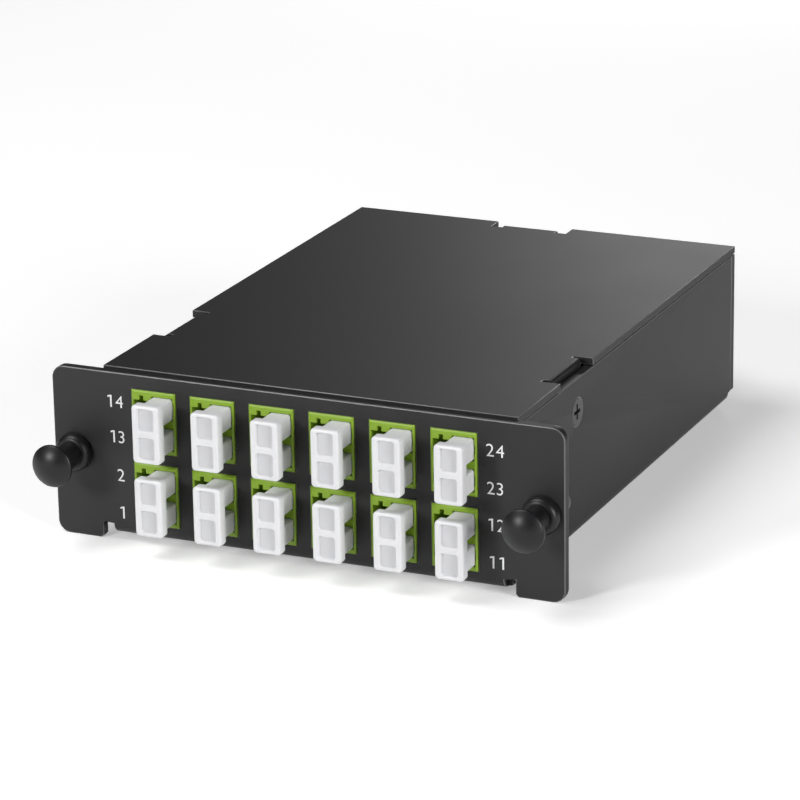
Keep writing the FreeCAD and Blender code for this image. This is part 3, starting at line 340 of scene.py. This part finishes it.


# The dust caps. A dimple's stations are the depth and inset of its rings in millimetres, and its floor and the
# foot of its wall, from one station on, are painted darker as shade in the recess. A neck's foot has its depth
# behind the block and its inset.
CAP_CORNER = 0.7 * MM
CAP_EDGE = 0.4 * MM
CAP_BLOCK_DEPTH = 2.3 * MM
DIMPLE_WIDTH, DIMPLE_HEIGHT = 3.8 * MM, 4.85 * MM
DIMPLE_PITCH = 5.85 * MM
DIMPLE_STATIONS = ((0.0, 0.0), (0.06, 0.03), (0.16, 0.08), (0.55, 0.20), (0.66, 0.25), (0.7, 0.34))
DIMPLE_SHADE_FROM = 3
DIMPLE_CORNER = 0.6 * MM
PORT_PITCH = 6.25 * MM
NECK_WIDTH, NECK_HEIGHT = 4.4 * MM, 4.4 * MM
NECK_CORNER = 0.55 * MM
NECK_BORE = 3.2 * MM
NECK_BORE_DEPTH = 6.0 * MM
NECK_BORE_ROUND = 0.999
NECK_BORE_LIP = 0.1 * MM
NECK_FOOT_STATIONS = ((-0.3, -0.30), (0.0, -0.26), (0.25, -0.12), (0.6, -0.03), (1.2, 0.0))
NECK_STRAIGHT_END = 2.0 * MM
NECK_TIP_ROUND = 0.3 * MM
QUARTER_STEPS = 4


def rounded_stations(start, way, radius):
    """Depth and inset of the rings that round an edge, from the flat face inwards."""
    for step in range(QUARTER_STEPS + 1):
        angle = math.radians(90.0 * step / QUARTER_STEPS)
        yield start + way * radius * (1.0 - math.cos(angle)), radius * (1.0 - math.sin(angle))


def dust_cap(number):
    """A duplex dust cap: a soft-edged block with two dimples and two hollow necks."""
    node = f"lc_dust_cap_{number}"
    low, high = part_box(node)
    width, height, front = high.x - low.x, high.z - low.z, low.y
    rear = front + CAP_BLOCK_DEPTH
    shape = bmesh.new()
    block = []
    for y, inset in rounded_stations(front, 1.0, CAP_EDGE):
        block.append(ring_of(shape, width - 2 * inset, height - 2 * inset, CAP_CORNER, y))
    for y, inset in reversed(list(rounded_stations(rear, -1.0, CAP_EDGE / 2))):
        block.append(ring_of(shape, width - 2 * inset, height - 2 * inset, CAP_CORNER, y))
    skin(shape, block)
    dimples = []
    for side in SIDES.values():
        walls = []
        for depth, inset in DIMPLE_STATIONS:
            ring = ring_of(shape, DIMPLE_WIDTH - 2 * inset * MM, DIMPLE_HEIGHT - 2 * inset * MM,
                           DIMPLE_CORNER, front + depth * MM)
            walls.append(moved(shape, ring, 0.0, side * DIMPLE_PITCH / 2))
        skin(shape, walls[:DIMPLE_SHADE_FROM + 1])
        # The deeper walls and the floor take the darker cap plastic: painted shade in the dimple.
        skin(shape, walls[DIMPLE_SHADE_FROM:], finish=1)
        lid(shape, walls[-1], finish=1)
        dimples.append(walls[0])
    lid(shape, block[0], *dimples)
    lid(shape, block[-1])
    for side in SIDES.values():
        neck_end = high.y
        stations = [(rear + depth * MM, inset * MM) for depth, inset in NECK_FOOT_STATIONS]
        stations += [(neck_end - NECK_STRAIGHT_END, 0.0)]
        stations += reversed(list(rounded_stations(neck_end, -1.0, NECK_TIP_ROUND)))
        rings = [ring_of(shape, NECK_WIDTH - 2 * inset, NECK_HEIGHT - 2 * inset, NECK_CORNER, y)
                 for y, inset in stations]
        rings += [ring_of(shape, NECK_BORE, NECK_BORE, NECK_BORE / 2 * NECK_BORE_ROUND, neck_end - depth)
                  for depth in (0.0, NECK_BORE_LIP, NECK_BORE_DEPTH)]
        rings = [moved(shape, ring, 0.0, side * PORT_PITCH / 2) for ring in rings]
        skin(shape, rings)
        lid(shape, rings[-1])
    middle = (low + high) / 2
    bmesh.ops.translate(shape, verts=shape.verts, vec=(middle.x, 0.0, middle.z))
    bmesh.ops.recalc_face_normals(shape, faces=shape.faces)
    return settle(shape, f"dust_cap_{number}", "cap_white", node, [node], second="cap_dimple_shade")


# Turned pieces: the largest turn of a smooth edge, in how many steps a piece goes round, and how close two
# vertices are that become one
SMOOTH_TURN = math.radians(38.0)
KNOB_STEPS, LEG_STEPS = 96, 72
TURNED_SEAM, CUT_SEAM = 1e-7, 1e-8


def crease(shape):
    """Shade a shape smooth, apart from the edges that turn too far for it."""
    for face in shape.faces:
        face.smooth = True
    for edge in shape.edges:
        edge.smooth = edge.calc_face_angle(0.0) < SMOOTH_TURN


def turned(profile, centre, steps=KNOB_STEPS):
    """A solid turned round an axis along Y from its profile of (radius, depth) points; gives the shape."""
    shape = bmesh.new()
    points = [shape.verts.new((radius, depth, 0.0)) for radius, depth in profile]
    edges = [shape.edges.new(pair) for pair in zip(points, points[1:])]
    bmesh.ops.spin(shape, geom=points + edges, cent=(0.0, 0.0, 0.0), axis=(0.0, 1.0, 0.0), dvec=(0.0, 0.0, 0.0),
                   angle=math.radians(360.0), steps=steps, use_merge=True)
    bmesh.ops.remove_doubles(shape, verts=shape.verts, dist=TURNED_SEAM)
    bmesh.ops.recalc_face_normals(shape, faces=shape.faces)
    crease(shape)
    bmesh.ops.translate(shape, verts=shape.verts, vec=centre)
    return shape


def arc(centre, radius, start, end, steps):
    """Points of (radius, depth) along an arc, by degrees from the axis's normal."""
    for step in range(steps + 1):
        angle = math.radians(start + (end - start) * step / steps)
        yield centre[0] + radius * math.cos(angle), centre[1] + radius * math.sin(angle)


def gather(shape, part):
    """Put a finished part into a shape."""
    carrier = bpy.data.meshes.new("carrier")
    part.to_mesh(carrier)
    part.free()
    shape.from_mesh(carrier)
    bpy.data.meshes.remove(carrier)


# The latches. The foot of a knob's neck, the knob's edge and the tip of a leg are points of radius and depth,
# counted from the corner that they soften.
COLLAR_LENGTH = 2.4 * MM
KNOB_GAP = 0.05 * MM
PIN_RADIUS, PIN_TIP = 1.75 * MM, 1.0 * MM
NECK_RADIUS = 2.6 * MM
KNOB_TAPER, KNOB_RIM, KNOB_DOME = 1.1 * MM, 0.6 * MM, 1.7 * MM
KNOB_SOFT = 0.5 * MM
NECK_END_ROUND = 0.2 * MM
NECK_FOOT = ((0.0, 0.25 * MM), (0.12 * MM, 0.02 * MM))
KNOB_EDGE = ((-0.22 * MM, 0.12 * MM), (-0.05 * MM, 0.01 * MM), (0.0, -0.1 * MM))
KNOB_SOFT_STEPS, DOME_STEPS = 8, 20
BORE_RADIUS, BARREL_RADIUS, SHOULDER_RADIUS, LEG_TIP_RADIUS = 1.8 * MM, 2.8 * MM, 3.3 * MM, 2.4 * MM
LEG_START, LEG_TAPER = 1.0 * MM, 2.2 * MM
LEG_SLIT = 0.8 * MM
LEG_TIP = ((0.05 * MM, -0.15 * MM), (-0.1 * MM, 0.0))
COLLAR_ROUND = (1.1 * MM, 1.6 * MM)
COLLAR_ROUND_STEPS = 12
COLLAR_FOOT = (0.1 * MM, 0.15 * MM)


def latch_knob(side):
    """The pull knob of a latch with its neck and pin."""
    node = f"latch_plunger_{side}"
    low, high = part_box(node)
    front, rear = low.y, high.y
    knob = (high.x - low.x) / 2
    seat = PLATE_FRONT - COLLAR_LENGTH - KNOB_GAP
    rim = front + KNOB_DOME + KNOB_RIM
    under = rim + KNOB_TAPER
    profile = [(0.0, rear), (PIN_RADIUS - PIN_TIP / 2, rear), (PIN_RADIUS, rear - PIN_TIP), (PIN_RADIUS, seat)]
    neck_end = (NECK_RADIUS - NECK_END_ROUND, seat - NECK_END_ROUND)
    profile += arc(neck_end, NECK_END_ROUND, 90.0, 0.0, QUARTER_STEPS)
    profile += [(NECK_RADIUS + out, under + depth) for out, depth in NECK_FOOT]
    profile += [(knob + out, rim + depth) for out, depth in KNOB_EDGE]
    sphere = (knob * knob + KNOB_DOME * KNOB_DOME) / (2 * KNOB_DOME)
    rise = math.sqrt((sphere - KNOB_SOFT) ** 2 - (knob - KNOB_SOFT) ** 2)
    turn = math.degrees(math.atan2(rise, knob - KNOB_SOFT))
    profile += arc((knob - KNOB_SOFT, front + sphere - rise), KNOB_SOFT, 0.0, -turn, KNOB_SOFT_STEPS)
    for step in range(1, DOME_STEPS + 1):
        angle = math.radians((90.0 - turn) * (1.0 - step / DOME_STEPS))
        profile.append((sphere * math.sin(angle), front + sphere * (1.0 - math.cos(angle))))
    middle = (low + high) / 2
    shape = turned(profile, (middle.x, 0.0, middle.z))
    return settle(shape, f"latch_knob_{side}", "latch_nylon", node, [node])


def latch_collar(side):
    """The sleeve of a latch: a collar on the plate, a shoulder in it, and two split legs behind it."""
    node = f"latch_grommet_{side}"
    low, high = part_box(node)
    front, rear = low.y, high.y
    collar = (high.x - low.x) / 2
    middle = (low + high) / 2
    place = Vector((middle.x, 0.0, middle.z))
    ring = [(BORE_RADIUS, front)]
    for step in range(COLLAR_ROUND_STEPS + 1):
        angle = math.radians(90.0 * step / COLLAR_ROUND_STEPS)
        across, along = COLLAR_ROUND[0] * (1.0 - math.sin(angle)), COLLAR_ROUND[1] * (1.0 - math.cos(angle))
        ring.append((collar - across, front + along))
    ring += [(collar, PLATE_FRONT - COLLAR_FOOT[1]), (collar - COLLAR_FOOT[0], PLATE_FRONT)]
    ring += [(SHOULDER_RADIUS, PLATE_FRONT)]
    ring += [(SHOULDER_RADIUS, 0.0), (BARREL_RADIUS, 0.0), (BARREL_RADIUS, LEG_START), (BORE_RADIUS, LEG_START)]
    shape = turned(ring + ring[:1], place)
    leg = [(BORE_RADIUS, LEG_START), (BARREL_RADIUS, LEG_START), (BARREL_RADIUS, rear - LEG_TAPER)]
    leg += [(LEG_TIP_RADIUS + out, rear + depth) for out, depth in LEG_TIP]
    leg += [(BORE_RADIUS, rear)]
    for way in SIDES.values():
        half = turned(leg + leg[:1], place, LEG_STEPS)
        cut = bmesh.ops.bisect_plane(half, geom=[*half.verts, *half.edges, *half.faces], dist=CUT_SEAM,
                                     plane_co=place + Vector((way * LEG_SLIT / 2, 0.0, 0.0)),
                                     plane_no=(way, 0.0, 0.0), clear_inner=True)
        rim = [part for part in cut["geom_cut"] if isinstance(part, bmesh.types.BMEdge)]
        bmesh.ops.holes_fill(half, edges=rim, sides=0)
        crease(half)
        gather(shape, half)
    return settle(shape, f"latch_collar_{side}", "latch_nylon", CASE, [node])


def fill_flats(shape, corners=4):
    """Fill each flat face of many corners anew with triangles, from its outline alone."""
    for face in [face for face in shape.faces if len(face.verts) > corners]:
        finish, normal, rim = face.material_index, face.normal.copy(), list(face.edges)
        bmesh.ops.delete(shape, geom=[face], context="FACES_ONLY")
        made = bmesh.ops.triangle_fill(shape, use_beauty=False, use_dissolve=False, edges=rim, normal=normal)
        for part in made["geom"]:
            if isinstance(part, bmesh.types.BMFace):
                part.material_index = finish
                part.smooth = False
    bmesh.ops.recalc_face_normals(shape, faces=shape.faces)


# What tells the edges of a CAD solid apart: the mesh's seams, flats cut into triangles, and edges that get a
# round; and how wide that round is on each kind of piece
SEAM = 1e-6
FLAT_TURN, SHARP_TURN = math.radians(1.0), math.radians(50.0)
SHORTEST_EDGE = 0.3 * MM
ROUND_SEGMENTS = 3
ADAPTER_ROUND, CASE_ROUND, LID_ROUND = 0.12 * MM, 0.2 * MM, 0.15 * MM


def softened(node, name, width, finish, highlight_finish=None):
    """A CAD node's solid with the narrow round that cutting, coating or moulding leaves on its outer edges,
    which a highlight finish, where given, covers as a painted highlight.
    """
    shape = bmesh.new()
    shape.from_mesh(frame["nodes"][node].data)
    bmesh.ops.remove_doubles(shape, verts=shape.verts, dist=SEAM)
    bmesh.ops.dissolve_limit(shape, angle_limit=FLAT_TURN, use_dissolve_boundaries=False,
                             verts=shape.verts, edges=shape.edges, delimit=set())
    sharp = [edge for edge in shape.edges
             if edge.is_manifold and edge.is_convex and edge.calc_length() > SHORTEST_EDGE
             and edge.calc_face_angle(0.0) > SHARP_TURN]
    made = bmesh.ops.bevel(shape, geom=sharp, offset=width, offset_type="OFFSET", affect="EDGES",
                           segments=ROUND_SEGMENTS, profile=0.5, material=-1, clamp_overlap=False)
    # Where a highlight finish is given, the rounds take it as a painted highlight along the edges.
    for face in made["faces"]:
        face.smooth = True
        face.material_index = 1 if highlight_finish else 0
    if not highlight_finish:
        fill_flats(shape)
    return settle(shape, name, finish, CASE, [node], second=highlight_finish)


# The print. The strokes of the digit 1 are in shares of its height.
NUMBER_HEIGHT = 2.5 * MM
NUMBER_STEP = 2.0 * MM
INK = 0.02 * MM
ONE_SPACE = 0.25 * MM
LETTER_WEIGHT = -0.004
STEM_WIDTH, STEM_PLACE = 0.15, 0.295
FLAG_WIDTH, FLAG_HEIGHT, FLAG_LEVEL, FLAG_SLOPE = 0.22, 0.13, 0.935, 0.35
# The port numbers, each with its side, how far out it ends and the Z of its foot
PORT_NUMBERS = (
    ("14", "left", 38.9 * MM, 10.3 * MM), ("13", "left", 38.9 * MM, 2.95 * MM),
    ("2", "left", 39.2 * MM, -5.05 * MM), ("1", "left", 39.5 * MM, -12.9 * MM),
    ("24", "right", 38.6 * MM, 10.3 * MM), ("23", "right", 38.7 * MM, 2.7 * MM),
    ("12", "right", 38.7 * MM, -4.7 * MM), ("11", "right", 38.9 * MM, -12.3 * MM),
)


def flat_digit(digit):
    """A digit as flat faces, one unit high, with its lower left corner at the origin; gives shape and width."""
    shape = bmesh.new()
    if digit == "1":
        stem = bmesh.ops.create_grid(shape, x_segments=1, y_segments=1, size=0.5)["verts"]
        bmesh.ops.scale(shape, verts=stem, vec=(STEM_WIDTH, 1.0, 1.0))
        bmesh.ops.translate(shape, verts=stem, vec=(STEM_PLACE, 0.5, 0.0))
        flag = bmesh.ops.create_grid(shape, x_segments=1, y_segments=1, size=0.5)["verts"]
        bmesh.ops.scale(shape, verts=flag, vec=(FLAG_WIDTH, FLAG_HEIGHT, 1.0))
        bmesh.ops.translate(shape, verts=flag, vec=(FLAG_WIDTH / 2, FLAG_LEVEL, 0.0))
        for corner in flag:
            corner.co.y -= FLAG_SLOPE * (FLAG_WIDTH - corner.co.x)
    else:
        letters = bpy.data.curves.new(f"digit_{digit}", "FONT")
        letters.body = digit
        letters.offset = LETTER_WEIGHT
        maker = bpy.data.objects.new(f"digit_{digit}", letters)
        bpy.context.scene.collection.objects.link(maker)
        bpy.context.view_layer.update()
        evaluated = maker.evaluated_get(bpy.context.evaluated_depsgraph_get())
        shape.from_mesh(bpy.data.meshes.new_from_object(evaluated))
        bpy.data.objects.remove(maker)
    corners = [vertex.co for vertex in shape.verts]
    left, foot = min(c.x for c in corners), min(c.y for c in corners)
    scale = 1.0 / (max(c.y for c in corners) - foot)
    width = (max(c.x for c in corners) - left) * scale
    bmesh.ops.translate(shape, verts=shape.verts, vec=(-left, -foot, 0.0))
    bmesh.ops.scale(shape, verts=shape.verts, vec=(scale, scale, scale))
    return shape, width


def port_number(text, side, x, z):
    """A printed number on the front plate, lined up at its outer end."""
    number = bmesh.new()
    end = 0.0
    for place, digit in enumerate(text):
        shape, width = flat_digit(digit)
        start = place * NUMBER_STEP + (ONE_SPACE if digit == "1" else 0.0)
        end = start + width * NUMBER_HEIGHT
        bmesh.ops.scale(shape, verts=shape.verts, vec=(NUMBER_HEIGHT,) * 3)
        bmesh.ops.translate(shape, verts=shape.verts, vec=(start, 0.0, 0.0))
        gather(number, shape)
    if side == "left":
        bmesh.ops.translate(number, verts=number.verts, vec=(-end, 0.0, 0.0))
    upright = Matrix.Rotation(math.radians(90.0), 3, "X")
    bmesh.ops.rotate(number, verts=number.verts, cent=(0.0, 0.0, 0.0), matrix=upright)
    bmesh.ops.translate(number, verts=number.verts, vec=(SIDES[side] * x, PLATE_FRONT - INK, z))
    return settle(number, f"port_number_{text}", "print", CASE)


# The photograph's camera: its place, its axes, and its lens and the width of its sensor in millimetres
CAMERA_PLACE = Vector((0.31085, -0.64509, 0.25531))
CAMERA_RIGHT = Vector((0.91369, 0.40610, -0.01595))
CAMERA_UP = Vector((-0.11510, 0.29610, 0.94820))
CAMERA_FORWARD = Vector((-0.38978, 0.86452, -0.31730))
CAMERA_LENS, CAMERA_SENSOR = 176.04, 36.0


def photograph_camera():
    """The camera at the photograph's place."""
    data = bpy.data.cameras.new("camera")
    data.lens = CAMERA_LENS
    data.sensor_width = CAMERA_SENSOR
    camera = bpy.data.objects.new("camera", data)
    bpy.context.scene.collection.objects.link(camera)
    turn = Matrix((CAMERA_RIGHT, CAMERA_UP, -CAMERA_FORWARD)).transposed()
    camera.matrix_world = Matrix.Translation(CAMERA_PLACE) @ turn.to_4x4()
    data.clip_start, data.clip_end = 0.01, 50.0
    bpy.context.scene.camera = camera


# The studio. Each lamp has its place, the point that it faces, its width and height, and its power in watts.
SKY_LEVEL = 0.015
PAPER_LEVEL, PAPER_GLOW, PAPER_HALF = 0.90, 0.31, 3.0
LAMPS = (
    ("softbox_above", (-0.45, -0.15, 1.00), (0.0, 0.03, 0.0), 0.6, 0.6, 6.6),
    ("softbox_left", (-0.50, -1.00, 0.46), (0.0, 0.0, 0.0), 0.25, 0.25, 7.4),
    ("softbox_right", (1.05, -0.40, 0.32), (0.0, 0.0, 0.0), 0.5, 0.5, 9.0),
    ("softbox_behind", (-0.138, 0.833, 0.237), (0.03, 0.11, 0.018), 0.243, 0.06, 1.0),
)


def softbox(name, place, target, width, height, power):
    """A rectangular lamp that faces a point."""
    data = bpy.data.lights.new(name, "AREA")
    data.shape = "RECTANGLE"
    data.size, data.size_y = width, height
    data.energy = power
    lamp = bpy.data.objects.new(name, data)
    bpy.context.scene.collection.objects.link(lamp)
    lamp.location = place
    lamp.visible_camera = False
    lamp.rotation_mode = "QUATERNION"
    lamp.rotation_quaternion = (Vector(target) - Vector(place)).to_track_quat("-Z", "Y")


def studio():
    """A plain pale floor under a faint sky, with a softbox above, two in front and a narrow one behind."""
    world = bpy.data.worlds.new("studio")
    bpy.context.scene.world = world
    world.use_nodes = True
    sky = world.node_tree.nodes["Background"]
    sky.inputs["Color"].default_value = (1.0, 1.0, 1.0, 1.0)
    sky.inputs["Strength"].default_value = SKY_LEVEL

    shape = bmesh.new()
    bmesh.ops.create_grid(shape, x_segments=1, y_segments=1, size=PAPER_HALF)
    bmesh.ops.translate(shape, verts=shape.verts, vec=(0.0, 0.0, FLOOR_LEVEL))
    mesh = bpy.data.meshes.new("floor")
    shape.to_mesh(mesh)
    shape.free()
    floor = bpy.data.objects.new("floor", mesh)
    bpy.context.scene.collection.objects.link(floor)
    paper = Finish("floor_paper", (PAPER_LEVEL,) * 3, 1.0, Specular_IOR_Level=0.0, Emission_Color=(1.0,) * 4)
    camera, glossy, transmission = [
        paper.node("ShaderNodeLightPath", output=f"Is {kind} Ray")
        for kind in ("Camera", "Glossy", "Transmission")
    ]
    paper.set(Emission_Strength=(camera + glossy + transmission) * PAPER_GLOW)
    mesh.materials.append(paper.material)

    for lamp in LAMPS:
        softbox(*lamp)
    bpy.context.scene.view_settings.view_transform = "Standard"


photograph_camera()
studio()
dress_nodes()
for number in NUMBERS:
    dust_cap(number)
    softened(f"lc_adapter_{number}", f"adapter_shell_{number}", ADAPTER_ROUND, "adapter_lime")
for side in SIDES:
    latch_knob(side)
    latch_collar(side)
softened("base_tray", "folded_case", CASE_ROUND, "powder_coat", "edge_highlight")
softened("top_cover", "lid_sheet", LID_ROUND, "powder_coat", "edge_highlight")
for entry in PORT_NUMBERS:
    port_number(*entry)
